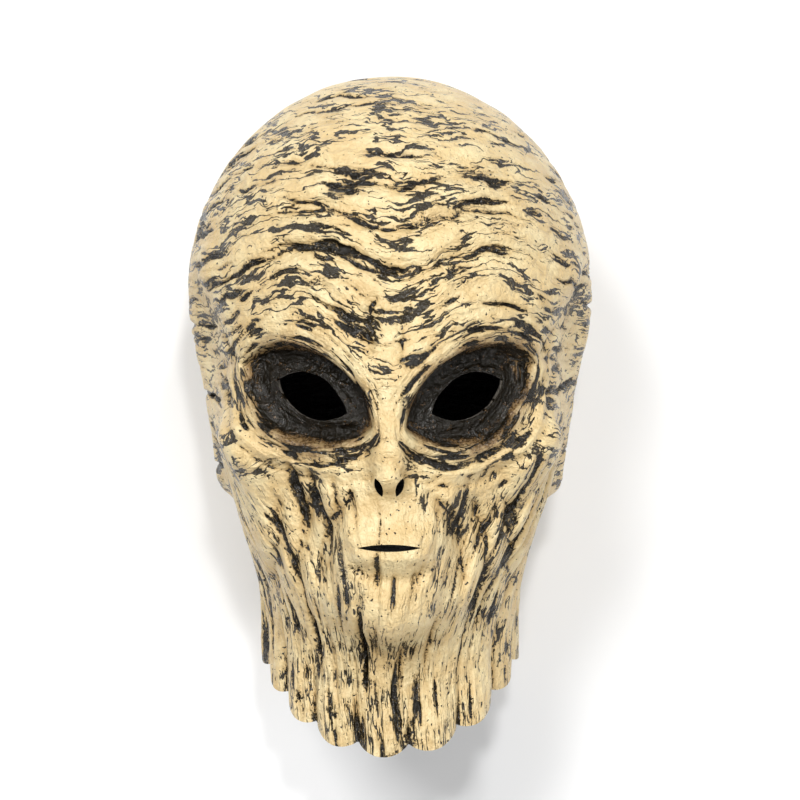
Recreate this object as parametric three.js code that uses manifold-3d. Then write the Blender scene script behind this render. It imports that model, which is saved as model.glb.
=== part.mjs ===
// A full-head rubber mask of an alien: one thin cast skin, hollow, open at the neck, the eyes,
// the nostrils and the mouth. It lies on its back. Millimetres, +Z up out of the face, +Y to the
// crown of the head, +X to the viewer's right. The origin is under the middle of the mask, on the
// surface it lies on.
//
// The outer surface is where a field, about the distance to the head's skin, is zero. Forms are
// blended into the field one by one, as a sculptor adds and takes clay, and folds are grooves added
// to it. A grid of points is thrown onto the built-up head from its axis, then drawn onto the
// surface and evened out. The inner surface is the same field one wall's thickness further in.
import * as THREE from "three";
import { mergeVertices } from "three/addons/utils/BufferGeometryUtils.js";
import Module from "manifold-3d";

const wasm = await Module();
wasm.setup();

// Driving dimensions
const HEAD_WIDTH = 214;
const HEAD_DEPTH = 237;
const MASK_LENGTH = 354;
const NECK_WIDTH = 134;
const WALL = 2.5;
const REST_SINK = 5; // how far the back of the cranium is pressed flat where it lies

// Mesh density
const COLUMNS = 80;
const FRONT_CROWDING = 0.5;
const NECK_ROWS = 6;
const FACE_ROWS = 27;
const DOME_ROWS = 10;
const DOME_CROWDING = 1.3;
const INNER_STEP = 2;
const RELAX_ROUNDS = 16;
const NECK_TOP = -104; // where the neck's rows end and the face's begin

const halfWidth = HEAD_WIDTH / 2;
const crownY = MASK_LENGTH / 2;
const chestY = -MASK_LENGTH / 2;

// The cranium's centre, from which the dome's points are thrown
const dome = { y: crownY - 115, z: (HEAD_DEPTH - REST_SINK) / 2 };
const cranium = [halfWidth, crownY - dome.y, HEAD_DEPTH - dome.z];

// Features of the face. `at` is a centre; a turn leans a feature's own +Z towards +X, and a slant
// lifts its outer end.
const face = { at: [0, -18, 136], radii: [84, 98, 88] };
const jaw = { at: [0, -76, 160], radii: [42, 40, 55] };
const chin = { at: [0, -97, 193], radii: [19, 18, 23] };
const neck = {
  radius: NECK_WIDTH / 2,
  foldY: -60,
  topZ: 94,
  topDepth: 60,
  hemY: -154,
  hemZ: 84,
  hemDepth: 84,
};
const brow = { inner: [9, 27, 223], outer: [86, 66, 168], radius: 12 };
const eye = { at: [44, 8, 217], turn: 0.5, slant: 0.4, width: 82, height: 47, depth: 21 };
const lid = { sink: 23, radii: [35, 18, 15] };
const eyeHole = { width: 44, height: 22 };
const nose = { bridge: [0, 26, 228], tip: [0, -30, 230], radius: 8 };
const nostril = { x: 5.2, y: -37, width: 3.6, height: 10, lean: 0.35 };
const cheekbone = { at: [62, -20, 184], radii: [24, 13, 18], slant: 0.4 };
const cheekHollow = { at: [52, -62, 206], radii: [17, 30, 16], slant: -0.3 };
const muzzle = { at: [0, -66, 192], radii: [29, 23, 29] };
const mouth = {
  y: -67,
  z: 220,
  gap: 3.6,
  holeWidth: 32,
  upper: [20, 3.2, 5],
  lower: [17, 4, 5.5],
  lift: 4,
};
const temple = { at: [104, 30, 166], radii: [14, 32, 36] };
const ear = { at: [87, -14, 102], height: 20, width: 14, tube: 5, hollow: [9, 13, 9] };
const hem = { front: chestY, side: -126, back: -154, lobes: 18, scallop: 6, flare: 2.6, reach: 66 };

// Blends, as the radius of clay smoothed into each join
const blend = { broad: 34, form: 20, feature: 13, crisp: 6 };

const clamp = THREE.MathUtils.clamp;
const smooth = THREE.MathUtils.smoothstep;
const bump = (d, width) => Math.exp(-((d / width) ** 2));

function join(a, b, k) {
  const h = Math.max(k - Math.abs(a - b), 0) / k;
  return Math.min(a, b) - (h * h * k) / 4;
}

const carve = (a, b, k) => -join(-a, b, k);

function ellipsoid(x, y, z, [rx, ry, rz]) {
  const near = Math.hypot(x / rx, y / ry, z / rz);
  const slope = Math.hypot(x / rx ** 2, y / ry ** 2, z / rz ** 2);
  return slope > 0 ? (near * (near - 1)) / slope : -Math.min(rx, ry, rz);
}

function rod(x, y, z, a, b, radius) {
  const along = b.map((value, i) => value - a[i]);
  const from = [x - a[0], y - a[1], z - a[2]];
  const dot = from.reduce((sum, value, i) => sum + value * along[i], 0);
  const t = clamp(dot / along.reduce((sum, value) => sum + value * value, 0), 0, 1);
  return Math.hypot(...from.map((value, i) => value - t * along[i])) - radius;
}

// A point in a feature's own axes
function within(x, y, z, { at, turn = 0, slant = 0 }) {
  const [dx, dy, dz] = [x - at[0], y - at[1], z - at[2]];
  const side = dx * Math.cos(turn) - dz * Math.sin(turn);
  const out = dx * Math.sin(turn) + dz * Math.cos(turn);
  return [
    side * Math.cos(slant) + dy * Math.sin(slant),
    dy * Math.cos(slant) - side * Math.sin(slant),
    out,
  ];
}

// Distance in a plane to an almond, the shape that two arcs enclose; negative inside
function almond(u, v, width, height) {
  const [half, rise] = [width / 2, height / 2];
  const radius = (half * half + rise * rise) / (2 * rise);
  const drop = radius - rise;
  const [x, y] = [Math.abs(u), Math.abs(v)];
  return (x - half) * drop > y * half ? Math.hypot(x - half, y) : Math.hypot(x, y + drop) - radius;
}

// The head and its features as far as they are built up, the same on both sides
function built(sideX, y, z) {
  const x = Math.sqrt(sideX * sideX + 1);
  let d = ellipsoid(x, y - dome.y, z - dome.z, cranium);
  d = join(d, ellipsoid(...within(x, y, z, face), face.radii), blend.broad);
  d = join(d, ellipsoid(...within(x, y, z, jaw), jaw.radii), blend.form);
  d = join(d, ellipsoid(...within(x, y, z, chin), chin.radii), blend.feature);

  const down = smooth(-y, -neck.foldY, -neck.hemY);
  const neckZ = z - THREE.MathUtils.lerp(neck.topZ, neck.hemZ, down);
  const neckDepth = THREE.MathUtils.lerp(neck.topDepth, neck.hemDepth, down);
  const tube = (Math.hypot(x / neck.radius, neckZ / neckDepth) - 1) * neck.radius;
  d = join(d, Math.max(tube, y), blend.broad);

  d = join(d, rod(x, y, z, brow.inner, brow.outer, brow.radius), blend.feature);
  d = join(d, ellipsoid(...within(x, y, z, cheekbone), cheekbone.radii), blend.form);
  d = join(d, ellipsoid(...within(x, y, z, muzzle), muzzle.radii), blend.feature);
  d = join(d, rod(x, y, z, nose.bridge, nose.tip, nose.radius), blend.feature);

  const [ex, ey, ez] = within(x, y, z, ear);
  const rim = Math.hypot(Math.hypot(ey / ear.height, ez / ear.width) - 1, ex / ear.width) * ear.width;
  return join(d, rim - ear.tube, blend.feature);
}

// The whole head, with its hollows and what stands in them
function form(sideX, y, z) {
  const x = Math.sqrt(sideX * sideX + 1);
  let d = built(sideX, y, z);
  d = carve(d, ellipsoid(...within(x, y, z, temple), temple.radii), blend.form);
  d = carve(d, ellipsoid(...within(x, y, z, cheekHollow), cheekHollow.radii), blend.form);

  const [u, v, out] = within(x, y, z, eye);
  const edge = almond(u, v, eye.width, eye.height);
  const pit = Math.hypot(Math.max(edge + eye.depth, 0), out) - eye.depth;
  d = carve(d, pit, blend.crisp);
  d = join(d, ellipsoid(u, v, out + lid.sink, lid.radii), blend.crisp);

  for (const [side, radii] of [[1, mouth.upper], [-1, mouth.lower]])
    d = join(d, ellipsoid(x, y - mouth.y - side * mouth.lift, z - mouth.z, radii), blend.crisp);

  const [ex, ey, ez] = within(x, y, z, ear);
  return carve(d, ellipsoid(ex - ear.hollow[0], ey, ez, ear.hollow), blend.feature);
}

// 1 at the middle of a lobe of the hem and 0 in the notch between two, by the angle round the
// neck; 0 is the front
function lobe(angle) {
  const phase = (hem.lobes * angle) / 2 + 0.5 * Math.sin(2 * angle + 1);
  return Math.abs(Math.cos(phase)) ** 0.7;
}

// Where the hem lies at an angle round the neck
function hemY(angle) {
  const forward = Math.cos(angle);
  const low = forward > 0 ? hem.front + hem.scallop : hem.back;
  return hem.side + (low - hem.side) * forward ** 2 - hem.scallop * lobe(angle);
}

// Folds and grooves, as millimetres cut into the skin; negative raises it
function relief(x, y, z) {
  const wx = x + 2.2 * Math.sin(y / 23 + 1);
  const wy = y + 1.8 * Math.sin(x / 19 + 0.7);
  const ax = Math.abs(wx);
  const front = smooth(z, dome.z - 10, dome.z + 40);
  let cut = 0;

  // Forehead: long folds that rise over each brow
  for (let i = 0; i < 3; i++) {
    const line = 70 + 21 * i + 10 * Math.sin(Math.PI * clamp(ax / 84, 0, 1)) ** 2;
    cut += front * (3.4 - 0.5 * i) * bump(wy - line, 5.5) * (1 - smooth(ax, 50 - 5 * i, 84 - 7 * i));
  }
  // Frown: two upright grooves over the nose
  cut += front * 2.8 * bump(ax - 9, 3.8) * smooth(wy, 22, 32) * (1 - smooth(wy, 50, 62));
  // Eye bags: folds that follow the socket's lower edge, and rays from its outer corner
  const [u, v] = within(ax, wy, z, eye);
  const below = smooth(-v, 2, 14);
  const off = almond(u, v, eye.width, eye.height);
  for (const distance of [8, 18]) cut += front * 2 * bump(off - distance, 3.8) * below;
  for (const angle of [-0.3, 0.4]) {
    const reach = (u - eye.width / 2) * Math.cos(angle) + v * Math.sin(angle);
    const apart = v * Math.cos(angle) - (u - eye.width / 2) * Math.sin(angle);
    cut += 2.4 * bump(apart, 3.8) * smooth(reach, 0, 8) * (1 - smooth(reach, 18, 34)) * smooth(z, 90, 130);
  }
  // Eyelids: a rolled lip round each eye hole
  cut -= front * 1.6 * bump(almond(u, v, eyeHole.width, eyeHole.height) - 3, 3.4);
  // Cheeks: folds that fall from the nose and the cheekbone to the jaw
  for (let i = 0; i < 3; i++) {
    const fall = clamp((-34 - 3 * i - wy) / 66, 0, 1);
    const line = 15 + 21 * i + (20 - 9 * i) * Math.sin(Math.PI * fall * 0.8);
    const ends = smooth(fall, 0, 0.15) * (1 - smooth(fall, 0.7, 1));
    cut += front * 3 * bump(ax - line, 4.4) * ends;
  }
  // Chin: the crease under the lower lip
  cut += front * 2.6 * bump(wy - mouth.y + 15 - ax * ax * 0.012, 4) * (1 - smooth(ax, 14, 24));
  // Nape and throat: folds across, then cords that run down to the hem
  const nape = smooth(-z, -70, -30);
  for (let i = 0; i < 3; i++) cut += nape * 2.6 * bump(wy + 52 + 19 * i, 4.5);
  const angle = Math.atan2(x, z - neck.hemZ);
  const toHem = 1 - smooth(y - hemY(angle), 0, hem.reach);
  cut += hem.flare * toHem * (1 - 2 * lobe(angle));
  return cut * smooth(z, 2, 12);
}

const field = (x, y, z) => Math.max(form(x, y, z) + relief(x, y, z), -z);

// The point where a ray from the head's axis leaves a surface
function cast(origin, direction, inside) {
  let [near, far] = [0, HEAD_DEPTH];
  const at = (t) => origin.map((value, i) => value + direction[i] * t);
  for (let t = far; t > 0; t -= 3)
    if (inside(...at(t))) {
      [near, far] = [t, t + 3];
      break;
    }
  for (let i = 0; i < 24; i++) {
    const middle = (near + far) / 2;
    if (inside(...at(middle))) near = middle;
    else far = middle;
  }
  return at((near + far) / 2);
}

function gradient(surface, [x, y, z]) {
  const e = 0.05;
  const slope = [
    surface(x + e, y, z) - surface(x - e, y, z),
    surface(x, y + e, z) - surface(x, y - e, z),
    surface(x, y, z + e) - surface(x, y, z - e),
  ];
  return slope.map((value) => value / (2 * e));
}

function settle(surface, point, level) {
  for (let i = 0; i < 2; i++) {
    const slope = gradient(surface, point);
    const size = slope.reduce((sum, value) => sum + value * value, 1e-6);
    const step = clamp((surface(...point) - level) / size, -2, 2);
    point = point.map((value, k) => value - step * slope[k]);
  }
  return point;
}

// Rows of points from the hem to just under the crown, and the crown's own point
function skin(step, level) {
  const columns = COLUMNS / step;
  const [neckRows, faceRows, domeRows] = [NECK_ROWS, FACE_ROWS, DOME_ROWS].map((n) => Math.ceil(n / step));
  const plain = (...p) => built(...p) < level;
  const finished = (...p) => field(...p) < level;
  const rows = [];
  for (let i = 0; i < neckRows + faceRows + domeRows; i++) {
    const row = [];
    for (let j = 0; j < columns; j++) {
      const even = (2 * Math.PI * j) / columns;
      const angle = even - FRONT_CROWDING * Math.sin(even);
      const low = hemY(angle);
      const y = i < neckRows
        ? low + ((NECK_TOP - low) * i) / neckRows
        : NECK_TOP + ((dome.y - NECK_TOP) * (i - neckRows)) / faceRows;
      const lift = (Math.PI / 2) * (Math.max(i - neckRows - faceRows, 0) / domeRows) ** DOME_CROWDING;
      const flat = Math.cos(lift);
      const direction = [Math.sin(angle) * flat, Math.sin(lift), Math.cos(angle) * flat];
      const z = neck.hemZ + (dome.z - neck.hemZ) * smooth(y, neck.hemY, 0);
      row.push(cast([0, Math.min(y, dome.y), z], direction, i === 0 ? finished : plain));
    }
    rows.push(row);
  }
  const crown = cast([0, dome.y, dome.z], [0, 1, 0], finished);
  relax(rows, crown, level);
  return { rows, crown };
}

// Slides the points until they lie evenly, with the hem held, while the skin turns from the
// built-up head's into its own
function relax(rows, crown, level) {
  const columns = rows[0].length;
  for (let round = 1; round <= RELAX_ROUNDS; round++) {
    const share = Math.min(round / (0.6 * RELAX_ROUNDS), 1);
    const surface = (...p) => (
      share === 1 ? field(...p) : THREE.MathUtils.lerp(built(...p), field(...p), share)
    );
    const moved = rows.map((row, i) => row.map((point, j) => {
      if (i === 0) return point;
      const around = [
        rows[i - 1][j],
        i + 1 < rows.length ? rows[i + 1][j] : crown,
        row[(j + 1) % columns],
        row[(j + columns - 1) % columns],
      ];
      const pull = point.map((value, k) => around.reduce((sum, p) => sum + p[k], 0) / 4 - value);
      return settle(surface, point.map((value, k) => value + 0.5 * pull[k]), level);
    }));
    rows.splice(0, rows.length, ...moved);
  }
}

// Which of a quad's diagonals lies closer to the skin
function splitsForward(a, b, c, d, level) {
  const miss = (p, q) => Math.abs(field(...p.map((value, k) => (value + q[k]) / 2)) - level);
  return miss(a, c) < miss(b, d);
}

// The triangles of a sheet, facing out or, turned over, in
function sheetFaces({ rows, crown }, first, level, turned) {
  const faces = [];
  const add = (a, b, c) => faces.push(first + a, first + (turned ? c : b), first + (turned ? b : c));
  const columns = rows[0].length;
  const points = [...rows.flat(), crown];
  for (let i = 0; i < rows.length; i++)
    for (let j = 0; j < columns; j++) {
      const [a, b] = [i * columns + j, i * columns + ((j + 1) % columns)];
      const [c, d] = [b + columns, a + columns];
      if (i + 1 === rows.length) add(a, b, points.length - 1);
      else if (splitsForward(points[a], points[b], points[c], points[d], level)) {
        add(a, b, c);
        add(a, c, d);
      } else {
        add(a, b, d);
        add(b, c, d);
      }
    }
  return faces;
}

// One closed skin from an outer and an inner sheet, joined round the hem
function shell() {
  const outer = skin(1, 0);
  const inner = skin(INNER_STEP, -WALL);
  const points = [...outer.rows.flat(), outer.crown, ...inner.rows.flat(), inner.crown];
  const start = outer.rows.length * COLUMNS + 1;
  const faces = [...sheetFaces(outer, 0, 0, false), ...sheetFaces(inner, start, -WALL, true)];
  const count = COLUMNS / INNER_STEP;
  for (let j = 0; j < count; j++) {
    const [a, b, c] = [j * INNER_STEP, j * INNER_STEP + 1, (j * INNER_STEP + 2) % COLUMNS];
    const [d, e] = [start + j, start + ((j + 1) % count)];
    faces.push(b, a, d, b, d, e, c, b, e);
  }
  return new wasm.Manifold(new wasm.Mesh({
    numProp: 3,
    vertProperties: new Float32Array(points.flat()),
    triVerts: new Uint32Array(faces),
  }));
}

// A hole's cutter: an outline pushed through the skin
function solidOf(geometry) {
  geometry.deleteAttribute("normal");
  geometry.deleteAttribute("uv");
  const merged = mergeVertices(geometry, 1e-3);
  return new wasm.Manifold(
    new wasm.Mesh({
      numProp: 3,
      vertProperties: merged.attributes.position.array,
      triVerts: new Uint32Array(merged.index.array),
    }),
  );
}

function almondPlug(width, height, length) {
  const [half, rise] = [width / 2, height / 2];
  const radius = (half * half + rise * rise) / (2 * rise);
  const sweep = Math.asin(half / radius);
  const outline = new THREE.Shape();
  outline.absarc(0, rise - radius, radius, Math.PI / 2 - sweep, Math.PI / 2 + sweep, false);
  outline.absarc(0, radius - rise, radius, -Math.PI / 2 - sweep, -Math.PI / 2 + sweep, false);
  const plug = new THREE.ExtrudeGeometry(outline, { depth: length, bevelEnabled: false, curveSegments: 9 });
  return plug.translate(0, 0, -length / 2);
}

function placed(geometry, side, { at, turn = 0, slant = 0 }) {
  return geometry
    .rotateZ(side * slant)
    .rotateY(side * turn)
    .translate(side * at[0], at[1], at[2]);
}

const HOLE_REACH = 90;
let mask = shell();
for (const side of [-1, 1]) {
  const eyePlug = almondPlug(eyeHole.width, eyeHole.height, HOLE_REACH);
  mask = mask.subtract(solidOf(placed(eyePlug, side, eye)));
  const slit = almondPlug(nostril.height, nostril.width, HOLE_REACH);
  const slitPlace = { at: [nostril.x, nostril.y, nose.tip[2]], slant: Math.PI / 2 - nostril.lean };
  mask = mask.subtract(solidOf(placed(slit, side, slitPlace)));
}
const lips = almondPlug(mouth.holeWidth, mouth.gap, HOLE_REACH);
mask = mask.subtract(solidOf(placed(lips, 1, { at: [0, mouth.y, mouth.z] })));

const { vertProperties, triVerts } = mask.getMesh();
const geometry = new THREE.BufferGeometry()
  .setAttribute("position", new THREE.BufferAttribute(vertProperties, 3))
  .setIndex(new THREE.BufferAttribute(triVerts, 1));
geometry.computeVertexNormals();

const bonePaint = new THREE.MeshStandardMaterial({ color: 0xe3c78f, roughness: 0.55, metalness: 0 });
const skinMesh = new THREE.Mesh(geometry, bonePaint);
skinMesh.name = "mask_shell";

const maskGroup = new THREE.Group();
maskGroup.add(skinMesh);
export default maskGroup;
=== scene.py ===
# %% [markdown]
# # A full-head rubber mask of an alien
#
# The real thing is a pull-over mask: black latex slushed in a plaster mould, so it is one thin skin,
# and then dry-brushed with bone-coloured paint. The brush only touches what stands up, so every
# groove stays black. The mask lies on its back and looks up. We sculpt the skin at the density of
# its wrinkles, cut the holes, and paint it by how deep each point lies.

# %% The frame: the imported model, and its size
from itertools import product
from math import cos, pi, radians, sin

import bpy
import numpy as np
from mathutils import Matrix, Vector
from mathutils.kdtree import KDTree


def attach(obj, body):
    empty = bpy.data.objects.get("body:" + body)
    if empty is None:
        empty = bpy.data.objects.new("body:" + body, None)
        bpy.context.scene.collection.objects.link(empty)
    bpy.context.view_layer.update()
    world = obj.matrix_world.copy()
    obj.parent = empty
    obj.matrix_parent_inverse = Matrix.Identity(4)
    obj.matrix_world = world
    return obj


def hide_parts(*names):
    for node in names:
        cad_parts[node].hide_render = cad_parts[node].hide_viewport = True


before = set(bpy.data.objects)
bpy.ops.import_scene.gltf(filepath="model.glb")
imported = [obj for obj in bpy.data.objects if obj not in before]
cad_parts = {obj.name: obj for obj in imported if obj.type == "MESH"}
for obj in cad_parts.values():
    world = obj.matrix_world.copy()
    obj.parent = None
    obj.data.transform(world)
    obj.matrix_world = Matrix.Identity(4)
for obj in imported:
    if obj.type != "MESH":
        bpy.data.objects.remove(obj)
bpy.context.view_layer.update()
MM = 0.001

# %% [markdown]
# ## The head as a field
#
# A sculptor adds and takes clay. We do the same with a field: a function that is about the distance
# to the skin, negative inside. `join` adds a form and smooths clay into the seam, and `carve` takes
# one away. Sculpt brushes would do it too, but they need a hand, and a field gives the same head
# each time, with the CAD model's dimensions. The values are the head's own, in millimetres: +X to
# the right of the face, +Y to the crown, +Z up out of the face. The mask's own weight presses the
# back of the cranium flat, by REST_SINK.

# %% The head's sizes in mm
HEAD_WIDTH = 214
HEAD_DEPTH = 237
MASK_LENGTH = 354
NECK_WIDTH = 134
WALL = 2.5
REST_SINK = 5

CROWN_Y = MASK_LENGTH / 2
DOME_Y = CROWN_Y - 115
DOME_Z = (HEAD_DEPTH - REST_SINK) / 2
CRANIUM = (HEAD_WIDTH / 2, CROWN_Y - DOME_Y, HEAD_DEPTH - DOME_Z)
print("mask", HEAD_WIDTH, "wide,", MASK_LENGTH, "long and", HEAD_DEPTH, "deep, in mm")

# %% Where its features are, and how wide a seam is smoothed, in mm and radians
FACE = dict(at=(0, -18, 136), radii=(84, 98, 88))
JAW = dict(at=(0, -76, 160), radii=(42, 40, 55))
CHIN = dict(at=(0, -97, 193), radii=(19, 18, 23))
NECK = dict(radius=NECK_WIDTH / 2, fold_y=-60, top_z=94, top_depth=60, hem_y=-154, hem_z=84, hem_depth=84)
BROW = dict(a=(9, 27, 223), b=(86, 66, 168), radius=12)
EYE = dict(at=(44, 8, 217), turn=0.5, slant=0.4, width=82, height=47, depth=21)
LID = dict(sink=23, radii=(35, 18, 15))
LID_RIM = dict(off_hole=3, width=3.4, height=1.6)
EYE_HOLE = dict(width=44, height=22)
NOSE = dict(a=(0, 26, 228), b=(0, -30, 230), radius=8)
NOSTRIL = dict(x=5.2, y=-37, width=3.6, height=10, lean=0.35)
CHEEKBONE = dict(at=(62, -20, 184), radii=(24, 13, 18), slant=0.4)
CHEEK_HOLLOW = dict(at=(52, -62, 206), radii=(17, 30, 16), slant=-0.3)
MUZZLE = dict(at=(0, -66, 192), radii=(29, 23, 29))
MOUTH = dict(y=-67, z=220, gap=3.6, hole_width=32, upper=(20, 3.2, 5), lower=(17, 4, 5.5), lift=4)
TEMPLE = dict(at=(104, 30, 166), radii=(14, 32, 36))
EAR = dict(at=(87, -14, 102), height=20, width=14, tube=5, hollow=(9, 13, 9))
HEM = dict(front=-CROWN_Y, side=-126, back=-154, lobes=18, scallop=6, flare=2.6, reach=66)
BROAD, FORM, FEATURE, CRISP = 34, 20, 13, 6


# %% Clay tools: every point is a column of a 3 by N array
def smooth(v, low, high):
    t = np.clip((v - low) / (high - low), 0, 1)
    return t * t * (3 - 2 * t)


def bump(d, width):
    return np.exp(-((d / width) ** 2))


def join(a, b, k):
    h = np.maximum(k - np.abs(a - b), 0) / k
    return np.minimum(a, b) - h * h * k / 4


def carve(a, b, k):
    return -join(-a, b, k)


def ellipsoid(p, radii):
    r = np.array(radii, float)[:, None]
    near = np.sqrt(((p / r) ** 2).sum(0))
    slope = np.sqrt(((p / r**2) ** 2).sum(0))
    return near * (near - 1) / np.maximum(slope, 1e-6)


def rod(p, a, b, radius):
    a, b = np.array(a, float)[:, None], np.array(b, float)[:, None]
    t = np.clip(((p - a) * (b - a)).sum(0) / ((b - a) ** 2).sum(), 0, 1)
    return np.sqrt(((p - a - t * (b - a)) ** 2).sum(0)) - radius


def within(p, at, turn=0.0, slant=0.0, **_):
    """Points in a feature's own axes."""
    dx, dy, dz = p[0] - at[0], p[1] - at[1], p[2] - at[2]
    side = dx * cos(turn) - dz * sin(turn)
    out = dx * sin(turn) + dz * cos(turn)
    return np.array([side * cos(slant) + dy * sin(slant), dy * cos(slant) - side * sin(slant), out])


def almond(u, v, width, height, **_):
    """Distance in a plane to the outline that two arcs enclose, negative inside."""
    half, rise = width / 2, height / 2
    radius = (half * half + rise * rise) / (2 * rise)
    drop = radius - rise
    x, y = np.abs(u), np.abs(v)
    tip = (x - half) * drop > y * half
    return np.where(tip, np.hypot(x - half, y), np.hypot(x, y + drop) - radius)


# %% The forms that are built up, and the hollows cut into them
def mirrored(p):
    return np.array([np.sqrt(p[0] ** 2 + 1), p[1], p[2]])


def built(p):
    q = mirrored(p)
    d = ellipsoid(q - np.array([0, DOME_Y, DOME_Z])[:, None], CRANIUM)
    for part, blend in ((FACE, BROAD), (JAW, FORM), (CHIN, FEATURE)):
        d = join(d, ellipsoid(within(q, **part), part["radii"]), blend)
    down = smooth(-q[1], -NECK["fold_y"], -NECK["hem_y"])
    neck_z = q[2] - (NECK["top_z"] + (NECK["hem_z"] - NECK["top_z"]) * down)
    neck_depth = NECK["top_depth"] + (NECK["hem_depth"] - NECK["top_depth"]) * down
    tube = (np.hypot(q[0] / NECK["radius"], neck_z / neck_depth) - 1) * NECK["radius"]
    d = join(d, np.maximum(tube, q[1]), BROAD)
    d = join(d, rod(q, **BROW), FEATURE)
    d = join(d, ellipsoid(within(q, **CHEEKBONE), CHEEKBONE["radii"]), FORM)
    d = join(d, ellipsoid(within(q, **MUZZLE), MUZZLE["radii"]), FEATURE)
    d = join(d, rod(q, **NOSE), FEATURE)
    ex, ey, ez = within(q, **EAR)
    rim = np.hypot(np.hypot(ey / EAR["height"], ez / EAR["width"]) - 1, ex / EAR["width"]) * EAR["width"]
    return join(d, rim - EAR["tube"], FEATURE)


def form(p):
    q = mirrored(p)
    d = built(p)
    d = carve(d, ellipsoid(within(q, **TEMPLE), TEMPLE["radii"]), FORM)
    d = carve(d, ellipsoid(within(q, **CHEEK_HOLLOW), CHEEK_HOLLOW["radii"]), FORM)
    u, v, out = within(q, **EYE)
    pit = np.hypot(np.maximum(almond(u, v, **EYE) + EYE["depth"], 0), out) - EYE["depth"]
    d = carve(d, pit, CRISP)
    d = join(d, ellipsoid(np.array([u, v, out + LID["sink"]]), LID["radii"]), CRISP)
    for side, lip in ((1, "upper"), (-1, "lower")):
        centre = np.array([0, MOUTH["y"] + side * MOUTH["lift"], MOUTH["z"]])[:, None]
        d = join(d, ellipsoid(q - centre, MOUTH[lip]), CRISP)
    ex, ey, ez = within(q, **EAR)
    return carve(d, ellipsoid(np.array([ex - EAR["hollow"][0], ey, ez]), EAR["hollow"]), FEATURE)


# %% The hem's lobes, and which skin is in front
def lobe(angle):
    return np.abs(np.cos(HEM["lobes"] * angle / 2 + 0.5 * np.sin(2 * angle + 1))) ** 0.7


def hem_y(angle):
    forward = np.cos(angle)
    low = np.where(forward > 0, HEM["front"] + HEM["scallop"], HEM["back"])
    return HEM["side"] + (low - HEM["side"]) * forward**2 - HEM["scallop"] * lobe(angle)


def frontness(z):
    return smooth(z, DOME_Z - 10, DOME_Z + 40)


def warped(p):
    """Across and up, gently bent, so that no fold is dead straight or the same on both sides."""
    x, y, _ = p
    return x + 2.2 * np.sin(y / 23 + 1), y + 1.8 * np.sin(x / 19 + 0.7)


# %% The broad folds: depths, widths and places in mm
FOREHEAD_FOLD = dict(deep=3.4, width=5.5, first_y=70, step=21, arch=10, reach=84)
FROWN = dict(deep=2.8, width=3.8, x=9)
UNDER_EYE = dict(deep=2, width=3.8, distances=(8, 18))
CROWS_FOOT = dict(deep=2.4, width=3.8, turns=(-0.3, 0.4))
CHEEK_FOLD = dict(deep=3, width=4.4, first_x=15, step=21, top_y=-34, length=66)
CHIN_FOLD = dict(deep=2.6, width=4, below_mouth=15, bend=0.012)
NAPE_FOLD = dict(deep=2.6, width=4.5, first_y=-52, step=19)
SIDE_BY_SIDE = 3


def folds(p):
    """Each broad fold: its depth in mm, the distance to its line, its width, and how far it holds."""
    wx, wy = warped(p)
    ax, z = np.abs(wx), p[2]
    front = frontness(z)
    found = []

    def add(fold, distance, hold, less=0.0):
        found.append((fold["deep"] - less, distance, fold["width"], hold))

    for i in range(SIDE_BY_SIDE):
        arch = np.sin(pi * np.clip(ax / FOREHEAD_FOLD["reach"], 0, 1)) ** 2
        line = FOREHEAD_FOLD["first_y"] + FOREHEAD_FOLD["step"] * i + FOREHEAD_FOLD["arch"] * arch
        hold = front * (1 - smooth(ax, 50 - 5 * i, FOREHEAD_FOLD["reach"] - 7 * i))
        add(FOREHEAD_FOLD, wy - line, hold, less=0.5 * i)
    add(FROWN, ax - FROWN["x"], front * smooth(wy, 22, 32) * (1 - smooth(wy, 50, 62)))
    u, v, _ = within(np.array([ax, wy, z]), **EYE)
    off = almond(u, v, **EYE)
    for distance in UNDER_EYE["distances"]:
        add(UNDER_EYE, off - distance, front * smooth(-v, 2, 14))
    for turn in CROWS_FOOT["turns"]:
        reach = (u - EYE["width"] / 2) * cos(turn) + v * sin(turn)
        apart = v * cos(turn) - (u - EYE["width"] / 2) * sin(turn)
        hold = smooth(reach, 0, 8) * (1 - smooth(reach, 18, 34)) * smooth(z, 90, 130)
        add(CROWS_FOOT, apart, hold)
    for i in range(SIDE_BY_SIDE):
        fall = np.clip((CHEEK_FOLD["top_y"] - 3 * i - wy) / CHEEK_FOLD["length"], 0, 1)
        bulge = (20 - 9 * i) * np.sin(pi * fall * 0.8)
        line = CHEEK_FOLD["first_x"] + CHEEK_FOLD["step"] * i + bulge
        add(CHEEK_FOLD, ax - line, front * smooth(fall, 0, 0.15) * (1 - smooth(fall, 0.7, 1)))
    sag = ax * ax * CHIN_FOLD["bend"]
    to_chin_fold = wy - MOUTH["y"] + CHIN_FOLD["below_mouth"] - sag
    add(CHIN_FOLD, to_chin_fold, front * (1 - smooth(ax, 14, 24)))
    for i in range(SIDE_BY_SIDE):
        add(NAPE_FOLD, wy - NAPE_FOLD["first_y"] + NAPE_FOLD["step"] * i, smooth(-z, -70, -30))
    return found


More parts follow.
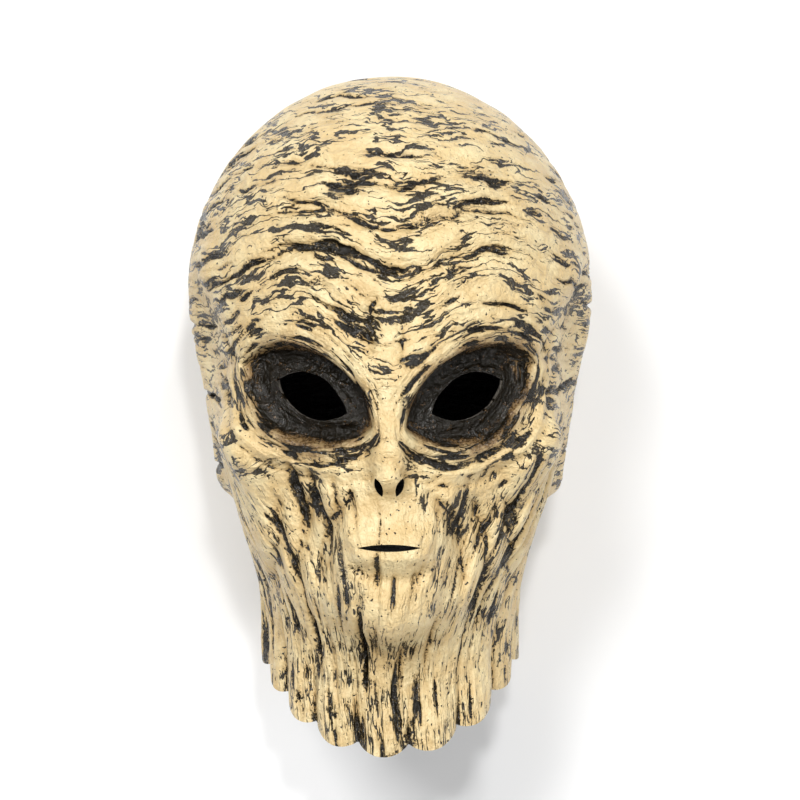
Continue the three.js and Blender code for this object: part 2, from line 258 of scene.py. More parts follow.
def relief(p):
    """Broad folds, the lids' rims and the hem's flare, in mm cut in. Below 0 it raises the skin."""
    x, y, z = p
    wx, wy = warped(p)
    cut = sum(deep * bump(distance, width) * hold for deep, distance, width, hold in folds(p))
    u, v, _ = within(np.array([np.abs(wx), wy, z]), **EYE)
    to_rim = almond(u, v, **EYE_HOLE) - LID_RIM["off_hole"]
    cut -= frontness(z) * LID_RIM["height"] * bump(to_rim, LID_RIM["width"])
    angle = np.arctan2(x, z - NECK["hem_z"])
    to_hem = 1 - smooth(y - hem_y(angle), 0, HEM["reach"])
    cut += HEM["flare"] * to_hem * (1 - 2 * lobe(angle))
    return cut * smooth(z, 2, 12)


def field(p):
    return np.maximum(form(p) + relief(p), -p[2])


# %% [markdown]
# ## Wrinkles that follow the skin
#
# Cast wrinkles are short gouges with pointed ends that run with the flow of the skin: across the
# cranium, round the eye sockets, and down the cheeks and the neck. Noise that is stretched along
# the flow gives just such lenses where it passes a threshold. Three sets of flow coordinates steer
# it, and each fades into the next. A meander keeps every wrinkle from running dead straight. A
# texture with Displace would carve them too, but it wouldn't follow the skin round the eyes.

# %% Seeded gradient noise
rng = np.random.default_rng(11)
SHUFFLE = rng.permutation(256)
GRADIENTS = rng.normal(size=(256, 3))
GRADIENTS /= np.linalg.norm(GRADIENTS, axis=1)[:, None]


def noise(x, y, z):
    p = np.array([x, y, z + np.zeros_like(x)])
    cell = np.floor(p).astype(int)
    f = p - cell
    fade = f**3 * (f * (f * 6 - 15) + 10)
    total = np.zeros_like(f[0])
    for corner in product((0, 1), repeat=3):
        i, j, k = cell + np.array(corner)[:, None]
        slope = GRADIENTS[SHUFFLE[(SHUFFLE[(SHUFFLE[i & 255] + j) & 255] + k) & 255]].T
        away = f - np.array(corner)[:, None]
        weight = np.prod([e if c else 1 - e for c, e in zip(corner, fade)], axis=0)
        total += weight * (slope * away).sum(0)
    return total * 1.7


# %% Flow coordinates in mm, and where each of them holds
CROWN_SWEEP = dict(radius=266, below=150, arch=16, arch_reach=96)
NECK_SWEEP = 92
MEANDER, MEANDER_SIZE = 1.5, 10


def flow(p):
    """Coordinates for the crown, the neck and the sockets, and where the last two hold."""
    x, y, z = p
    wx, wy = warped(p)
    ax = np.abs(wx)
    front = frontness(z)
    arch = CROWN_SWEEP["arch"] * front * np.sin(pi * np.clip(ax / CROWN_SWEEP["arch_reach"], 0, 1)) ** 2
    arch = arch * (1 - smooth(y, 60, 130))
    size = MEANDER_SIZE
    meander = MEANDER * noise(x / size, y / size, z / size + 7)
    up = np.arctan2(wy - DOME_Y - arch, z + CROWN_SWEEP["below"])
    crown = np.array([x, CROWN_SWEEP["radius"] * up + meander, z])
    drawn_in = 1 + 0.5 * front * smooth(-y, 25, 105)
    turn = np.arctan2(wx * drawn_in, z - NECK["hem_z"])
    neck = np.array([NECK_SWEEP * np.sin(turn) + 0.4 * meander, y, NECK_SWEEP * np.cos(turn)])
    u, v, _ = within(np.array([ax, wy, z]), **EYE)
    ring = almond(u, v, **EYE)
    socket = np.array([u, ring, v + 0.4 * x])
    start = 26 + 52 * (1 - front) + 16 * noise(x / 17, z / 30, 0)
    lower = smooth(-wy + 0.18 * ax * front, start, start + 26)
    rings = (1 - smooth(ring, 7, 20)) * smooth(z, 110, 150)
    return crown, neck, socket, lower, rings


def streak(flowing, across, along, shift=0.0):
    """Noise drawn out along the flow, whose middle coordinate crosses the crown and the sockets."""
    a, b, c = flowing
    return noise(a / along + shift, b / across, c / along)


def strand(neck, across, along, shift=0.0):
    """The same for the neck, where the flow runs down."""
    a, b, c = neck
    return noise(a / across + shift, b / along, c / across)


def calmness(p):
    """1 on wrinkled skin, less on the lips, the nose and the skin between them."""
    x, y, z = p
    lips = np.exp(-((x / 25) ** 2) - ((y - MOUTH["y"] + 3) / 16) ** 2)
    nose = np.exp(-((x / 13) ** 2) - ((y + 8) / 30) ** 2)
    between = np.exp(-((x / 16) ** 2) - ((y + 48) / 12) ** 2)
    point = np.exp(-((x / 17) ** 2) - ((y + 97) / 15) ** 2)
    return np.clip(1 - frontness(z) * (0.9 * lips + 0.7 * nose + 0.8 * between + 0.6 * point), 0, 1)


# %% The patterns of wrinkles: below 0 is skin, at 0 a wrinkle's edge, and at 1 its floor
OPENS_AT = dict(crown=0.53, neck=0.38, eyelet=0.72, socket=0.08)
FOLD_CORE = 0.3
CORE_WAVER, CORE_WAVER_SIZE = 2.8, 11


def crease_signals(p):
    """Long and short ones on the crown, deep and slim ones on the neck, round the eyes, in folds."""
    x, y, z = p
    crown, neck, socket, lower, _ = flow(p)
    patch = 0.24 * noise(x / 42, y / 34, z / 42) + 0.12 * smooth(np.abs(x), 55, 100) - OPENS_AT["crown"]
    long = (streak(crown, 4.2, 46) + 0.3 * streak(crown, 2.6, 19) + patch) / 0.3
    short = (streak(crown, 3.2, 21, shift=5) + patch) / 0.26
    to_hem = 0.3 * smooth(-y, 105, 150)
    deep = strand(neck, 7.4, 80) + 0.3 * strand(neck, 4.4, 26, shift=2)
    deep = (deep - OPENS_AT["neck"] - to_hem) / 0.34
    slim = (strand(neck, 4.1, 30, shift=4) - OPENS_AT["neck"]) / 0.3
    eyelets = (strand(neck, 4.4, 9, shift=12) - OPENS_AT["eyelet"]) / 0.2
    round_eye = (streak(socket, 3.2, 18) - OPENS_AT["socket"]) / 0.3
    size = CORE_WAVER_SIZE
    waver = CORE_WAVER * noise(x / size, y / size, z / size + 3)
    breaks = streak(crown, 4, 36, shift=9) * (1 - lower) + strand(neck, 4, 36, shift=9) * lower
    cores = [
        0.4 * depth * hold - 0.5 - np.abs(distance + waver) / (FOLD_CORE * width)
        for depth, distance, width, hold in folds(p)
    ]
    core = np.max(cores, axis=0) + 0.8 * breaks - 0.1
    return long, short, deep, np.maximum(slim, eyelets), round_eye, core


# %% How deep each kind of wrinkle is cut, in mm
CUT = dict(long=1.9, short=0.9, deep=2, deep_in_front=2.6, slim=1.3, round_eye=1.2, core=0.9, notch=1.5)


def carving(p):
    """Wrinkles as millimetres cut into the skin, and the strongest signal at each point."""
    x, y, z = p
    *_, lower, rings = flow(p)
    calm = calmness(p)
    long, short, deep, slim, round_eye, core = crease_signals(p)
    forward = smooth(z, 60, 120)
    on_crown = CUT["long"] * smooth(long, 0, 1) + CUT["short"] * smooth(short, 0, 1)
    on_crown += 0.5 * noise(x / 22, y / 13, z / 22) + 0.12 * np.clip(long, -2, 0)
    on_neck = (CUT["deep"] + CUT["deep_in_front"] * forward) * smooth(deep, 0, 1)
    on_neck += CUT["slim"] * smooth(slim, 0, 1)
    on_neck += 0.9 * np.clip(deep, -1.6, 0) + 0.25 * np.clip(slim, -2, 0) + 0.8
    cut = on_crown * (1 - lower) + on_neck * lower
    cut = (cut * (1 - rings) + CUT["round_eye"] * smooth(round_eye, 0, 1) * rings) * calm
    cut = cut + CUT["core"] * smooth(core, 0, 0.8)

    crease = np.maximum(long, short) * (1 - lower) + np.maximum(deep, slim) * lower
    crease = np.maximum(crease * (1 - rings) + round_eye * rings, core)
    crease -= 1.5 * (1 - calm)

    angle = np.arctan2(x, z - NECK["hem_z"])
    up = y - hem_y(angle)
    notch = bump(lobe(angle), 0.3) * (1 - smooth(up, 4, 26))
    cut += CUT["notch"] * notch
    crease = np.maximum(crease, 1.6 * notch - 0.8)
    return cut * smooth(up, -4, 16) * smooth(z, 1, 8), np.clip(crease, -2, 2)


# %% [markdown]
# ## Throwing a sheet over the head
#
# A UV sphere is a good start for a head: its rings become the rows from hem to crown, and its
# seams the columns. We open it at the neck, thin its columns where they crowd at the crown, and
# then move its points in code: out onto the built-up head along rays from its axis, and in small
# steps onto the finished form while they spread evenly.

# %% The sheet's density
COLUMNS = 320
NECK_ROWS, FACE_ROWS, DOME_ROWS = 36, 136, 112
INNER_STEP = 4
FRONT_CROWDING = 0.5
DOME_CROWDING = 1.3
NECK_TOP = -104
RELAX_ROUNDS = 16
DOME_THINNING = [(66, 2), (90, 4), (103, 8)]


# %% Reading a sheet, and starting one
def select_only(*objects):
    bpy.ops.object.select_all(action="DESELECT")
    for piece in objects:
        piece.select_set(True)
    bpy.context.view_layer.objects.active = objects[0]


def coordinates(mesh):
    co = np.empty(len(mesh.vertices) * 3)
    mesh.vertices.foreach_get("co", co)
    return co.reshape(-1, 3)


def ring_and_seam(mesh, rings):
    """The sphere's ring, from 0 at the open neck, and its seam's angle, of each point."""
    co = coordinates(mesh)
    ring = np.rint(np.arccos(np.clip(-co[:, 2], -1, 1)) / pi * rings).astype(int) - 1
    return ring, np.arctan2(co[:, 1], co[:, 0])


def start_sheet(name, rows, thinning):
    """A sphere that is open below. Each (ring, n) keeps only every n-th seam from that ring on."""
    rings = rows + 1
    bpy.ops.object.select_all(action="DESELECT")
    bpy.ops.mesh.primitive_uv_sphere_add(segments=COLUMNS, ring_count=rings, radius=1)
    sheet = bpy.context.object
    sheet.name = sheet.data.name = name
    mesh = sheet.data
    bpy.context.tool_settings.mesh_select_mode = (True, False, False)
    ring, _ = ring_and_seam(mesh, rings)
    mesh.polygons.foreach_set("select", np.zeros(len(mesh.polygons), bool))
    mesh.edges.foreach_set("select", np.zeros(len(mesh.edges), bool))
    mesh.vertices.foreach_set("select", ring < 0)
    bpy.ops.object.mode_set(mode="EDIT")
    bpy.ops.mesh.delete(type="VERT")
    bpy.ops.object.mode_set(mode="OBJECT")
    bpy.context.tool_settings.mesh_select_mode = (False, True, False)
    for first, keep in thinning:
        ring, seam = ring_and_seam(mesh, rings)
        column = np.rint(seam / (2 * pi) * COLUMNS).astype(int) % COLUMNS
        ends = np.empty(len(mesh.edges) * 2, int)
        mesh.edges.foreach_get("vertices", ends)
        a, b = ends.reshape(-1, 2).T
        pole = (ring[a] >= rows) | (ring[b] >= rows)
        seam_column = np.where(ring[a] >= rows, column[b], column[a])
        runs_up = (ring[a] != ring[b]) & (pole | (column[a] == column[b]))
        dropped = runs_up & (seam_column % keep != 0) & (np.minimum(ring[a], ring[b]) >= first)
        mesh.polygons.foreach_set("select", np.zeros(len(mesh.polygons), bool))
        mesh.vertices.foreach_set("select", np.zeros(len(mesh.vertices), bool))
        mesh.edges.foreach_set("select", dropped)
        bpy.ops.object.mode_set(mode="EDIT")
        bpy.ops.mesh.dissolve_edges(use_verts=True)
        bpy.ops.object.mode_set(mode="OBJECT")
    print(name, len(mesh.vertices), "points before it is moved")
    return sheet


# %% Throwing, settling and relaxing the points
HALVINGS = 18
SLOPE_STEP = 0.05


def bisect(origin, direction, inside):
    """Where each ray leaves the inside, found by halving."""
    near, far = np.zeros(origin.shape[1]), np.full(origin.shape[1], float(HEAD_DEPTH))
    for _ in range(HALVINGS):
        middle = (near + far) / 2
        within_skin = inside(origin + direction * middle)
        near, far = np.where(within_skin, middle, near), np.where(within_skin, far, middle)
    return origin + direction * near


def slope_of(surface, p, value):
    steps = np.eye(3) * SLOPE_STEP
    return np.array([(surface(p + step[:, None]) - value) / SLOPE_STEP for step in steps])


def settle(surface, p, level):
    """Steps along the slope towards the level."""
    for _ in range(2):
        value = surface(p)
        slope = slope_of(surface, p, value)
        step = np.clip((value - level(p)) / ((slope**2).sum(0) + 1e-6), -2, 2)
        p = p - step * slope
    return p


def throw(sheet, rows, level):
    """Moves the sheet's points onto the field at a level. Returns them and the hem's."""
    mesh = sheet.data
    neck_rows, face_rows, dome_rows = rows
    ring, turn = ring_and_seam(mesh, sum(rows) + 1)
    angle = turn - FRONT_CROWDING * np.sin(turn)
    low = hem_y(angle)
    y = np.where(
        ring < neck_rows,
        low + (NECK_TOP - low) * ring / neck_rows,
        NECK_TOP + (DOME_Y - NECK_TOP) * (ring - neck_rows) / face_rows,
    )
    lift = pi / 2 * (np.maximum(ring - neck_rows - face_rows, 0) / dome_rows) ** DOME_CROWDING
    lift = np.minimum(lift, pi / 2)
    direction = np.array([np.sin(angle) * np.cos(lift), np.sin(lift), np.cos(angle) * np.cos(lift)])
    axis_z = NECK["hem_z"] + (DOME_Z - NECK["hem_z"]) * smooth(y, NECK["hem_y"], 0)
    origin = np.array([0 * y, np.minimum(y, DOME_Y), axis_z])
    p = bisect(origin, direction, lambda q: built(q) < level(q))
    hem = ring == 0
    p[:, hem] = bisect(origin[:, hem], direction[:, hem], lambda q: field(q) < level(q))

    ends = np.empty(len(mesh.edges) * 2, int)
    mesh.edges.foreach_get("vertices", ends)
    a, b = ends.reshape(-1, 2).T
    free = np.where(hem, 0, 0.5)
    for round_ in range(1, RELAX_ROUNDS + 1):
        share = min(round_ / (0.6 * RELAX_ROUNDS), 1)
        surface = field if share == 1 else lambda q: (1 - share) * built(q) + share * field(q)
        p = p + free * (around(p, a, b) - p)
        p[:, ~hem] = settle(surface, p[:, ~hem], level)
    return p, hem, a, b


def around(p, a, b):
    """The mean of each point's neighbours."""
    count = np.bincount(a, minlength=p.shape[1]) + np.bincount(b, minlength=p.shape[1])
    total = [np.bincount(a, v[b], p.shape[1]) + np.bincount(b, v[a], p.shape[1]) for v in p]
    return np.array(total) / count


# %% The outer skin, with its wrinkles
ROWS = (NECK_ROWS, FACE_ROWS, DOME_ROWS)
upper = NECK_ROWS + FACE_ROWS
outer = start_sheet("mask_skin", sum(ROWS), [(upper + ring, keep) for ring, keep in DOME_THINNING])
skin, hem_points, edge_a, edge_b = throw(outer, ROWS, lambda q: 0)
value = field(skin)
normal = slope_of(field, skin, value)
normal /= np.sqrt((normal**2).sum(0)) + 1e-9
depth, crease = carving(skin)
smooth_skin = skin
skin_flow = flow(skin)
skin = skin - depth * normal
skin[2] = np.maximum(skin[2], 0)
print("wrinkles are up to", round(float(depth.max()), 2), "mm deep")

# %% [markdown]
# ## How deep each point lies
#
# The painter's dry brush touches only what stands up. A point's depth below its smoothed
# surroundings says whether the brush reached it, so we smooth a copy of the skin a little and a
# lot, and measure along the normal. A shader's Pointiness would say it too, but only at the scale
# of one face.

# %% Depth below the surroundings, in mm
A_LITTLE, A_LOT = 14, 70
BROAD_SHARE = 0.45


def hollowness(p, normal, rounds):
    q = p.copy()
    for _ in range(rounds):
        q = q + np.where(hem_points, 0, 0.6) * (around(q, edge_a, edge_b) - q)
    return ((q - p) * normal).sum(0)


hollow = hollowness(skin, normal, A_LITTLE) + BROAD_SHARE * hollowness(skin, normal, A_LOT)
print("depth below the surroundings, 5th and 95th percentile", np.percentile(hollow, [5, 95]).round(2))

# %% [markdown]
# ## The lining and the shell
#
# Latex is poured into the mould, swilled round and poured out again, so the inside is smoother than
# the outside. Solidify would copy every wrinkle inwards and cross itself in the sharp ones, so we
# throw a second, coarser sheet one wall further in, and bridge the two hems.

# %% The inner skin: the same head without the wrinkles
INNER_ROWS = tuple(n // INNER_STEP for n in ROWS)
inner_upper = sum(INNER_ROWS[:2])
inner = start_sheet(
    "mask_lining", sum(INNER_ROWS), [(1, 2), (2, 4), (inner_upper + 18, 8), (inner_upper + 25, 16)]
)


def lining_level(p):
    """The wall, and away from the hem and the eyes more of it, so that no wrinkle cuts through."""
    *_, lower, rings = flow(p)
    angle = np.arctan2(p[0], p[2] - NECK["hem_z"])
    from_hem = smooth(p[1] - hem_y(angle), 2, 20)
    return -WALL - from_hem * (1 - rings) * (1.2 + 1.8 * lower * smooth(p[2], 60, 120))


lining, *_ = throw(inner, INNER_ROWS, lining_level)


# %% Writing points and values into the meshes
def set_points(sheet, p):
    sheet.data.vertices.foreach_set("co", (p.T * MM).ravel())
    sheet.data.update()


def set_value(mesh, name, values):
    attribute = mesh.attributes.new(name, "FLOAT", "POINT")
    attribute.data.foreach_set("value", np.asarray(values, np.float32))


def set_vector(mesh, name, vectors):
    attribute = mesh.attributes.new(name, "FLOAT_VECTOR", "POINT")
    attribute.data.foreach_set("vector", np.asarray(vectors.T, np.float32).ravel())


set_points(outer, skin)
set_points(inner, lining)

# %% The two skins become one closed shell, joined round the hem
select_only(inner)
bpy.ops.object.mode_set(mode="EDIT")
bpy.ops.mesh.select_all(action="SELECT")
bpy.ops.mesh.flip_normals()
bpy.ops.object.mode_set(mode="OBJECT")
select_only(outer, inner)
bpy.ops.object.join()
bpy.ops.object.mode_set(mode="EDIT")
bpy.ops.mesh.select_mode(type="EDGE")
bpy.ops.mesh.select_all(action="DESELECT")
bpy.ops.mesh.select_non_manifold(
    extend=False,
    use_wire=False,
    use_boundary=True,
    use_multi_face=False,
    use_non_contiguous=False,
    use_verts=False,
)
bpy.ops.mesh.bridge_edge_loops()
bpy.ops.object.mode_set(mode="OBJECT")
mask = outer
print("shell:", len(mask.data.vertices), "points")

# %% [markdown]
# ## Cutting the holes
#
# The maker trims the eye holes, the nostrils and the mouth with scissors after the mask is out of
# its mould. Deleting faces would leave a ragged edge with no thickness, so we cut the closed shell.
# Each cutter starts as a cylinder, squeezed to an almond and turned the way the feature looks.


# %% The cutters, and one boolean cut with all of them
def almond_cutter(name, at, width, height, turn=0.0, slant=0.0, length=90, **_):
    bpy.ops.object.select_all(action="DESELECT")
    bpy.ops.mesh.primitive_cylinder_add(vertices=56, radius=1, depth=1)
    cutter = bpy.context.object
    cutter.name = name
    half, rise = width / 2, height / 2
    radius = (half * half + rise * rise) / (2 * rise)
    x, y, z = coordinates(cutter.data).T
    u = half * x
    v = np.sign(np.round(y, 6)) * (np.sqrt(np.maximum(radius**2 - u**2, 0)) - (radius - rise))
    z = z * length
    u, v = u * cos(slant) - v * sin(slant), u * sin(slant) + v * cos(slant)
    u, z = u * cos(turn) + z * sin(turn), z * cos(turn) - u * sin(turn)
    set_points(cutter, np.array([u + at[0], v + at[1], z + at[2]]))
    return cutter


cutters = []
for side, word in ((-1, "left"), (1, "right")):
    at = (side * EYE["at"][0], *EYE["at"][1:])
    turn, slant = side * EYE["turn"], side * EYE["slant"]
    cutters.append(almond_cutter("eye_" + word, at, turn=turn, slant=slant, **EYE_HOLE))
    at = (side * NOSTRIL["x"], NOSTRIL["y"], NOSE["b"][2])
    lean = side * (pi / 2 - NOSTRIL["lean"])
    cutters.append(almond_cutter("nostril_" + word, at, NOSTRIL["height"], NOSTRIL["width"], slant=lean))
cutters.append(almond_cutter("mouth", (0, MOUTH["y"], MOUTH["z"]), MOUTH["hole_width"], MOUTH["gap"]))
select_only(*cutters)
bpy.ops.object.join()
cutter = bpy.context.object
select_only(mask)
bpy.ops.object.modifier_add(type="BOOLEAN")
cut = mask.modifiers[-1]
cut.operation, cut.object, cut.solver = "DIFFERENCE", cutter, "MANIFOLD"
bpy.ops.object.modifier_apply(modifier=cut.name)
select_only(cutter)
bpy.ops.object.delete()
print("after the cut:", len(mask.data.vertices), "points")

# %% Values for the paint, carried over from each point's nearest neighbour before the cut
sources = KDTree(skin.shape[1] + lining.shape[1])
for i, point in enumerate(np.hstack([skin, lining]).T):
    sources.insert(point, i)
sources.balance()
nearest = np.array([sources.find(point / MM)[1] for point in coordinates(mask.data)])
flow_there = [np.hstack(pair) for pair in zip(skin_flow, flow(lining))]
for name, vectors in zip(("crown_flow", "neck_flow", "socket_flow"), flow_there[:3]):
    set_vector(mask.data, name, vectors[:, nearest])
for name, values in zip(("lower", "rings"), flow_there[3:]):
    set_value(mask.data, name, values[nearest])
on_skin = {"hollow": hollow, "crease": crease, "calm": calmness(smooth_skin)}
for name, values in on_skin.items():
    set_value(mask.data, name, np.append(values, np.zeros(lining.shape[1]))[nearest])
u, v, _ = within(mirrored(np.hstack([skin, lining])), **EYE)
set_value(mask.data, "from_hole", almond(u, v, **EYE_HOLE)[nearest])
set_value(mask.data, "lining", nearest >= skin.shape[1])
print("values for the paint on", len(nearest), "points")

# %% Smooth skin with crisp cut edges
CRISP_ANGLE = 55
select_only(mask)
bpy.ops.object.shade_smooth_by_angle(angle=radians(CRISP_ANGLE))
for layer in list(mask.data.uv_layers):
    mask.data.uv_layers.remove(layer)

# %% [markdown]
# ## The paint
#
# The latex itself is black and glossy. Bone paint lies on all that stands up, thins to a brown haze
# round the eyes, and breaks into grit where the brush ran dry. Thin black lines, too fine for the
# mesh, follow the same flow as the wrinkles and are pressed in with a bump. The paint could be one
# large picture, but values on the points and noise stay sharp from any distance.


# %% Small helpers for node trees
def add_node(tree, kind, **settings):
    node = tree.nodes.new("ShaderNode" + kind)
    for name, value in settings.items():
        setattr(node, name, value)
    return node


def feed(tree, value, socket):
    if isinstance(value, (int, float, tuple)):
        socket.default_value = value
    else:
        tree.links.new(value, socket)


def maths(tree, operation, *values, clamp=False):
    node = add_node(tree, "Math", operation=operation, use_clamp=clamp)
    for value, socket in zip(values, node.inputs):
        feed(tree, value, socket)
    return node.outputs[0]


def blend_values(tree, share, low, high):
    node = add_node(tree, "Mix", data_type="FLOAT")
    for value, name in ((share, "Factor"), (low, "A"), (high, "B")):
        feed(tree, value, node.inputs[name])
    return node.outputs[0]


def blend_colours(tree, share, low, high):
    """Mixes two colours, which are the seventh and the eighth socket of a Mix node."""
    node = add_node(tree, "Mix", data_type="RGBA")
    feed(tree, share, node.inputs["Factor"])
    feed(tree, low, node.inputs[6])
    feed(tree, high, node.inputs[7])
    return node.outputs[2]


def ease(tree, value, low, high):
    """0 below the first value, 1 above the second, and smooth between them."""
    node = add_node(tree, "MapRange", interpolation_type="SMOOTHSTEP")
    feed(tree, value, node.inputs["Value"])
    node.inputs["From Min"].default_value = low
    node.inputs["From Max"].default_value = high
    return node.outputs[0]


def value_of(tree, name, output="Fac"):
    return add_node(tree, "Attribute", attribute_name=name).outputs[output]


def grain(tree, vector, size, detail=2.0, roughness=0.5, output="Fac"):
    """Noise about 0.5 in lumps of a size in the vector's own units, one number for each axis."""
    mapping = add_node(tree, "Mapping")
    tree.links.new(vector, mapping.inputs["Vector"])
    mapping.inputs["Scale"].default_value = tuple(1 / s for s in size)
    texture = add_node(tree, "TexNoise")
    tree.links.new(mapping.outputs[0], texture.inputs["Vector"])
    texture.inputs["Scale"].default_value = 1
    texture.inputs["Detail"].default_value = detail
    texture.inputs["Roughness"].default_value = roughness
    return texture.outputs[output]


# %% Painted latex: the flow of its fibres
painted_latex = bpy.data.materials.new("painted_latex")
painted_latex.use_nodes = True
tree = painted_latex.node_tree
shader = tree.nodes["Principled BSDF"]
place = add_node(tree, "TexCoord").outputs["Object"]
lower, rings, hollows, creases, calm, from_hole, inside = (
    value_of(tree, name)
    for name in ("lower", "rings", "hollow", "crease", "calm", "from_hole", "lining")
)
WOBBLE_SIZE = (0.006,) * 3
wobble = grain(tree, place, WOBBLE_SIZE, detail=3, output="Color")


def wandering(name, reach):
    """Flow coordinates from the mesh, pushed aside by noise, `reach` mm at most."""
    node = add_node(tree, "VectorMath", operation="MULTIPLY_ADD")
    flowing = value_of(tree, name, "Vector")
    for value, socket in zip((wobble, (reach,) * 3, flowing), node.inputs):
        feed(tree, value, socket)
    return node.outputs[0]


crown_flow = wandering("crown_flow", 4.0)
neck_flow = wandering("neck_flow", 2.0)
socket_flow = wandering("socket_flow", 2.5)


def flow_grain(across, along, detail=2.0, roughness=0.5):
    """Noise about 0.5 in fibres that follow the wrinkles."""
    on_crown = grain(tree, crown_flow, (along, across, along), detail, roughness)
    on_neck = grain(tree, neck_flow, (across, along, across), detail, roughness)
    in_socket = grain(tree, socket_flow, (along, across, along), detail, roughness)
    return blend_values(tree, rings, blend_values(tree, lower, on_crown, on_neck), in_socket)


def centred(value, scale):
    return maths(tree, "MULTIPLY_ADD", value, scale, -0.5 * scale)


# %% Painted latex: lines, pits and grit, with sizes in mm along the flow and in metres elsewhere
fibres = centred(flow_grain(3.6, 24, detail=3), 2)
off_line = maths(tree, "ABSOLUTE", centred(flow_grain(7, 44, detail=3, roughness=0.6), 1))
busy = grain(tree, place, (0.022, 0.014, 0.022), detail=3)
line_width = maths(tree, "MULTIPLY_ADD", lower, -0.2, ease(tree, busy, 0.34, 0.63))
thin = ease(tree, maths(tree, "MULTIPLY_ADD", off_line, -25, line_width), 0.0, 0.25)
furrow = ease(tree, maths(tree, "MULTIPLY_ADD", off_line, -7, line_width), -0.2, 1.0)
hair = ease(tree, flow_grain(1.3, 11), 0.58, 0.64)
clusters = ease(tree, grain(tree, place, (0.026, 0.018, 0.026), detail=3), 0.42, 0.56)
fine = maths(tree, "MULTIPLY", hair, clusters)
pits = ease(tree, grain(tree, place, (0.0019,) * 3, detail=1), 0.68, 0.74)
grit = centred(grain(tree, place, (0.0013,) * 3, detail=3, roughness=0.7), 2)
lumps = centred(grain(tree, place, (0.0032,) * 3, detail=3, roughness=0.6), 2)
mottle = centred(grain(tree, place, (0.014,) * 3, detail=4, roughness=0.6), 2)

# %% Painted latex: what the brush has missed
STROKE_SHARE = 0.97
scuffed = ease(tree, busy, 0.6, 0.72)
wrinkle = maths(tree, "MULTIPLY_ADD", scuffed, maths(tree, "MULTIPLY_ADD", grit, 3.5, 0.7), creases)
wrinkle = maths(tree, "MULTIPLY_ADD", grit, 0.6, wrinkle)
wrinkle = maths(tree, "MULTIPLY_ADD", fibres, -0.8, wrinkle)
wrinkle = maths(tree, "MULTIPLY_ADD", lumps, -0.5, wrinkle)
wrinkle = maths(tree, "MULTIPLY_ADD", hollows, 0.1, wrinkle)
in_wrinkle = ease(tree, wrinkle, 0.05, 0.35)
stroke = maths(tree, "MULTIPLY", maths(tree, "MAXIMUM", thin, fine), ease(tree, calm, 0.3, 0.8))
stroke = maths(tree, "MAXIMUM", stroke, maths(tree, "MULTIPLY", pits, 0.9))
stroke = ease(tree, maths(tree, "MULTIPLY_ADD", grit, 0.6, stroke), 0.45, 0.8)

rim = from_hole
for ragged in (grit, mottle, fibres):
    rim = maths(tree, "MULTIPLY_ADD", ragged, 5, rim)


def within_rim(low, high):
    """1 nearer to an eye hole than the first value in mm, and 0 from the second on."""
    return maths(tree, "MULTIPLY", maths(tree, "SUBTRACT", 1.0, ease(tree, rim, low, high)), rings)


near_hole, haze = within_rim(9, 15), within_rim(10, 23)
strands = maths(tree, "MULTIPLY_ADD", hair, -0.7, 1.0)
bare = maths(tree, "MULTIPLY", in_wrinkle, strands)
bare = maths(tree, "MAXIMUM", bare, maths(tree, "MULTIPLY", stroke, STROKE_SHARE))
bare = maths(tree, "MAXIMUM", bare, near_hole)
flecks = maths(tree, "MULTIPLY", ease(tree, maths(tree, "ADD", lumps, grit), 0.3, 0.6), 0.6)
bare = maths(tree, "SUBTRACT", bare, flecks, clamp=True)

# %% Painted latex: its colours
BONE = (0.70, 0.515, 0.25, 1)
PALE_BONE = (0.80, 0.655, 0.37, 1)
TAN = (0.50, 0.33, 0.13, 1)
BROWN = (0.17, 0.09, 0.03, 1)
BLACK_LATEX = (0.009, 0.0065, 0.003, 1)
LINING = (0.022, 0.020, 0.018, 1)
# The grey of the cut edges is a painted highlight. The latex there is as black as the rest.
CUT_EDGE_HIGHLIGHT = (0.13, 0.115, 0.095, 1)
bone = blend_colours(tree, ease(tree, mottle, -0.3, 0.4), BONE, PALE_BONE)
thinned = maths(tree, "ADD", ease(tree, wrinkle, -1.0, 0.2), ease(tree, hollows, 0.0, 3.0))
bone = blend_colours(tree, maths(tree, "MULTIPLY", thinned, 0.5), bone, TAN)
bone = blend_colours(tree, haze, bone, BROWN)
skin_colour = blend_colours(tree, bare, bone, BLACK_LATEX)
skin_colour = blend_colours(tree, ease(tree, inside, 0.5, 1.0), skin_colour, LINING)
not_lining = maths(tree, "SUBTRACT", 1.0, ease(tree, inside, 0.8, 0.98))
# A thin line of painted highlight along the cut edges of the wall, round the holes and at the hem.
highlighted_cut_edge = maths(tree, "MULTIPLY", ease(tree, inside, 0.02, 0.15), not_lining)
tree.links.new(blend_colours(tree, highlighted_cut_edge, skin_colour, CUT_EDGE_HIGHLIGHT), shader.inputs["Base Color"])

# %% Painted latex: its gloss
PAINT_ROUGHNESS, LATEX_ROUGHNESS, LINING_ROUGHNESS = 0.37, 0.16, 0.62
matt = maths(tree, "MULTIPLY_ADD", grit, 0.25, PAINT_ROUGHNESS)
outside = blend_values(tree, bare, matt, LATEX_ROUGHNESS)
tree.links.new(blend_values(tree, inside, outside, LINING_ROUGHNESS), shader.inputs["Roughness"])
shader.inputs["IOR"].default_value = 1.5
shader.inputs["Specular IOR Level"].default_value = 0.5

# %% Painted latex: its fine relief, in mm
height = maths(tree, "MULTIPLY", stroke, -0.4)
for pattern, rise in ((furrow, -0.7), (in_wrinkle, -0.5), (fibres, 1.5), (grit, 0.22)):
    height = maths(tree, "MULTIPLY_ADD", pattern, rise, height)
height = maths(tree, "MULTIPLY_ADD", lumps, maths(tree, "MULTIPLY_ADD", bare, 0.5, 0.8), height)
pressed = add_node(tree, "Bump")
pressed.inputs["Distance"].default_value = MM
pressed.inputs["Strength"].default_value = 1
tree.links.new(height, pressed.inputs["Height"])
tree.links.new(pressed.outputs[0], shader.inputs["Normal"])

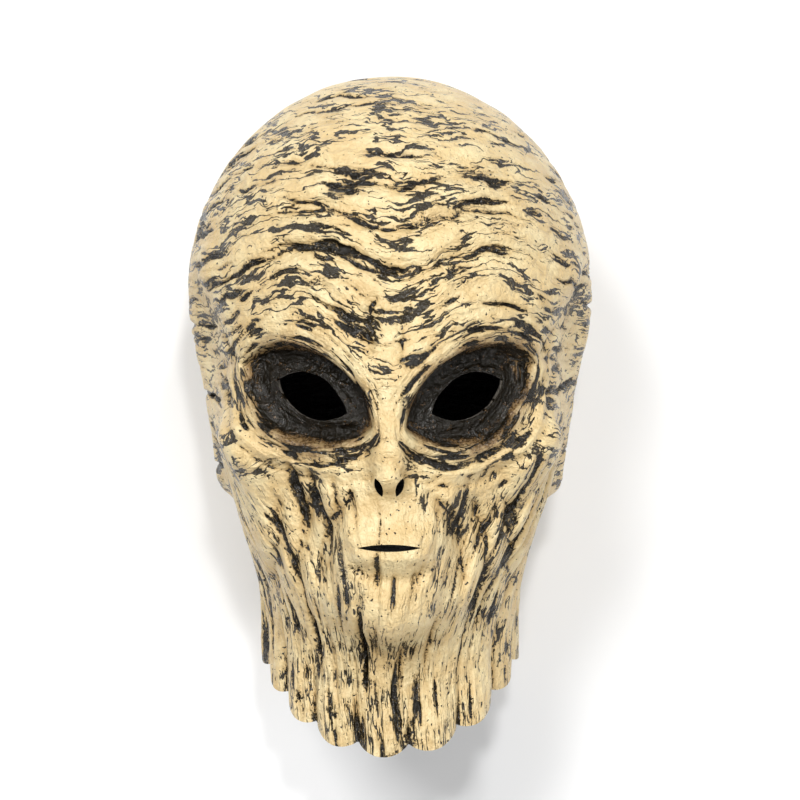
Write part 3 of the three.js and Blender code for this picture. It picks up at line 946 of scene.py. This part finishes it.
mask.data.materials.clear()
mask.data.materials.append(painted_latex)
print("painted_latex:", len(tree.nodes), "nodes")

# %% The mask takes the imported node's place
mask.name = mask.data.name = "latex_mask"
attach(mask, "root")
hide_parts("mask_shell")

# %% [markdown]
# ## The studio
#
# The mask lies on a pale table and is photographed from straight above with a long lens, so that
# perspective doesn't swell its outline. Large soft lights give the paint its even tone, and two
# small ones put sparks in the grooves.

# %% Table
TABLE_SIZE = 6
TABLE_COLOUR = (0.92, 0.92, 0.92, 1)
TABLE_ROUGHNESS = 0.7
bpy.ops.object.select_all(action="DESELECT")
bpy.ops.mesh.primitive_plane_add(size=TABLE_SIZE)
table = bpy.context.object
table.name = "table"
table_top = bpy.data.materials.new("pale_table_top")
table_top.use_nodes = True
table_shader = table_top.node_tree.nodes["Principled BSDF"]
table_shader.inputs["Base Color"].default_value = TABLE_COLOUR
table_shader.inputs["Roughness"].default_value = TABLE_ROUGHNESS
table.data.materials.append(table_top)


# %% Lights and the sky, in metres and watts
LOOKED_AT = Vector((0, 0, 0.1))
SKY_STRENGTH = 0.25


def soft_light(name, place, size, power):
    """A square lamp that faces the mask."""
    bpy.ops.object.light_add(type="AREA", location=place)
    light = bpy.context.object
    light.name = name
    light.data.size = size
    light.data.energy = power
    light.rotation_euler = (LOOKED_AT - light.location).to_track_quat("-Z", "Y").to_euler()


soft_light("key", (-1.2, 1.4, 3.3), 1.1, 82)
soft_light("fill", (0.7, -0.7, 1.9), 1.2, 17)
soft_light("spark", (0.12, 0.6, 2.1), 0.12, 11)
soft_light("glint", (0.35, 1.35, 1.7), 0.15, 8)
world = bpy.context.scene.world or bpy.data.worlds.new("studio")
bpy.context.scene.world = world
world.use_nodes = True
sky = world.node_tree.nodes["Background"]
sky.inputs["Color"].default_value = (1, 1, 1, 1)
sky.inputs["Strength"].default_value = SKY_STRENGTH
bpy.context.scene.view_settings.view_transform = "Standard"

# %% The camera, straight above
CAMERA_AT = (0.0053, 0.0061, 1.616)
LENS, SENSOR = 127, 36
bpy.ops.object.camera_add(location=CAMERA_AT, rotation=(0, 0, 0))
camera = bpy.context.object
camera.data.lens = LENS
camera.data.sensor_width = SENSOR
bpy.context.scene.camera = camera
print("camera", CAMERA_AT[2], "m above the table, with a lens of", LENS, "mm")
